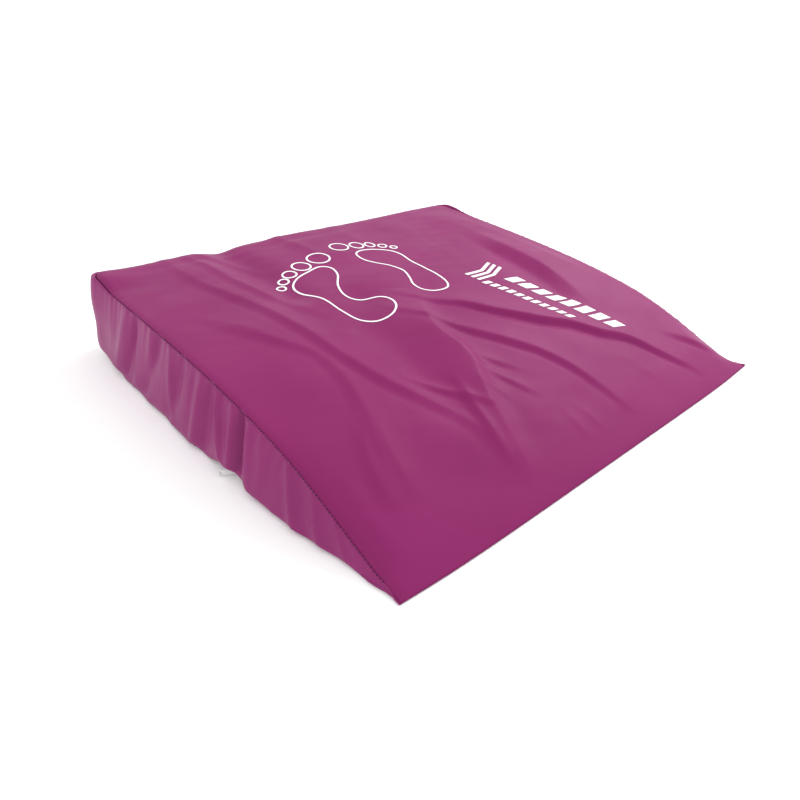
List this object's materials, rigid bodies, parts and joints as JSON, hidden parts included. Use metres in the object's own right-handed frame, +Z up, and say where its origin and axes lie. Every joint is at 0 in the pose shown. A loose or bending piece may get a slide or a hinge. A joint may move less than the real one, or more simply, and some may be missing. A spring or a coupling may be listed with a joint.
{
  "type": "positioning wedge cushion",
  "caption": "Wedge-shaped foam positioning cushion with a convex incline, zipped stretch-fabric cover and printed foot outlines.",
  "frame": {"origin": "on the floor, under the middle of the cover's 715 x 650 mm plan", "axes": "+X across the cushion, +Y from the low edge to the high end, +Z up"},
  "size_m": [0.7402, 0.651, 0.11],
  "materials": {
    "foam": "open-cell polyurethane foam, matt",
    "cover_top": "magenta coated stretch fabric, soft satin",
    "cover_band": "magenta coated stretch fabric, gathered, soft satin",
    "cover_base": "magenta coated stretch fabric, flat",
    "thread": "dark polyester sewing thread",
    "zip_tape": "white woven zip tape",
    "zip_coil": "white nylon coil",
    "zip_metal": "white enamelled die-casting",
    "print": "white transfer-print film"
  },
  "bodies": {
    "cushion": {"foam_core": "foam", "top_panel": "cover_top", "side_band": "cover_band", "base_panel": "cover_base", "top_seam_thread": "thread", "base_seam_thread": "thread", "zip_seam_thread": "thread", "zip_tape_upper": "zip_tape", "zip_tape_lower": "zip_tape", "zip_coil_upper": "zip_coil", "zip_coil_lower": "zip_coil", "zip_top_stops": "zip_metal", "zip_bottom_stop": "zip_metal", "footprint_left": "print", "footprint_right": "print", "print_mark": "print"},
    "zip_slider": {"zip_slider": "zip_metal"},
    "zip_pull": {"zip_pull": "zip_metal"}
  },
  "joints": [
    {"name": "zip_slide", "type": "slide", "parent": "cushion", "child": "zip_slider", "axis": [0, 1, 0], "range_m": [0, 0.37], "deforming": ["zip_coil_upper", "zip_coil_lower"]},
    {"name": "zip_pull_swing", "type": "hinge", "parent": "zip_slider", "child": "zip_pull", "pos_m": [-0.3602, -0.0738, 0.0053], "axis": [0, 0, 1], "range_deg": [-60, 110]}
  ]
}
